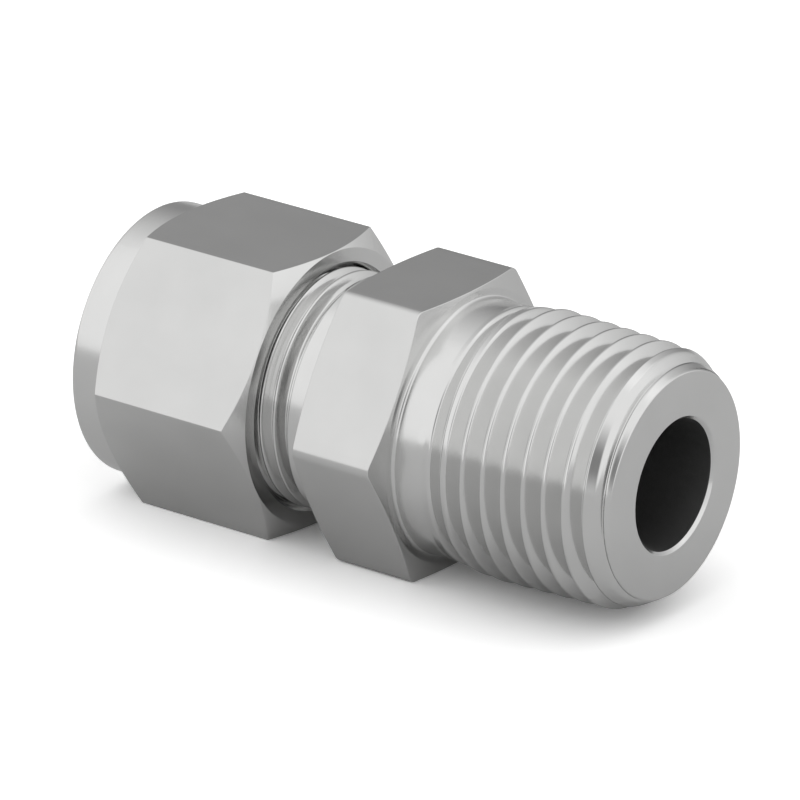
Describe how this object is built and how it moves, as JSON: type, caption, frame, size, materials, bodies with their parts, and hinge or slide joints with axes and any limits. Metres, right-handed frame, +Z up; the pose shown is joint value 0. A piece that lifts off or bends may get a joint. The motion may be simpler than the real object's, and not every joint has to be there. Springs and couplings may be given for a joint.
{
  "type": "male connector tube fitting",
  "caption": "Twin-ferrule compression fitting that joins a plain tube to a tapered female pipe port, with a hexagonal body and a hexagonal nut, finger tight.",
  "frame": {"origin": "on the axis, at the shoulder where a fully inserted tube stops", "axes": "+X along the axis towards the pipe thread, -X out of the tube socket, +Z up with a hexagon flat facing down"},
  "size_m": [0.049, 0.0256, 0.0222],
  "materials": {
    "body_steel": "turned and milled stainless steel, satin",
    "nut_steel": "drawn and turned stainless steel, satin",
    "ferrule_steel": "fine turned stainless steel"
  },
  "bodies": {
    "body": {"connector_body": "body_steel"},
    "ferrules": {"front_ferrule": "ferrule_steel", "back_ferrule": "ferrule_steel"},
    "nut": {"nut": "nut_steel"}
  },
  "joints": [
    {"name": "nut_travel", "type": "slide", "parent": "body", "child": "ferrules", "axis": [-1, 0, 0], "range_m": [0, 0.00636]},
    {"name": "nut_turn", "type": "hinge", "parent": "ferrules", "child": "nut", "pos_m": [0, 0, 0], "axis": [-1, 0, 0], "range_deg": [0, 1800]}
  ],
  "couplings": [
    {"joint": "nut_travel", "follows": "nut_turn", "m_per_rad": 0.00020213}
  ]
}
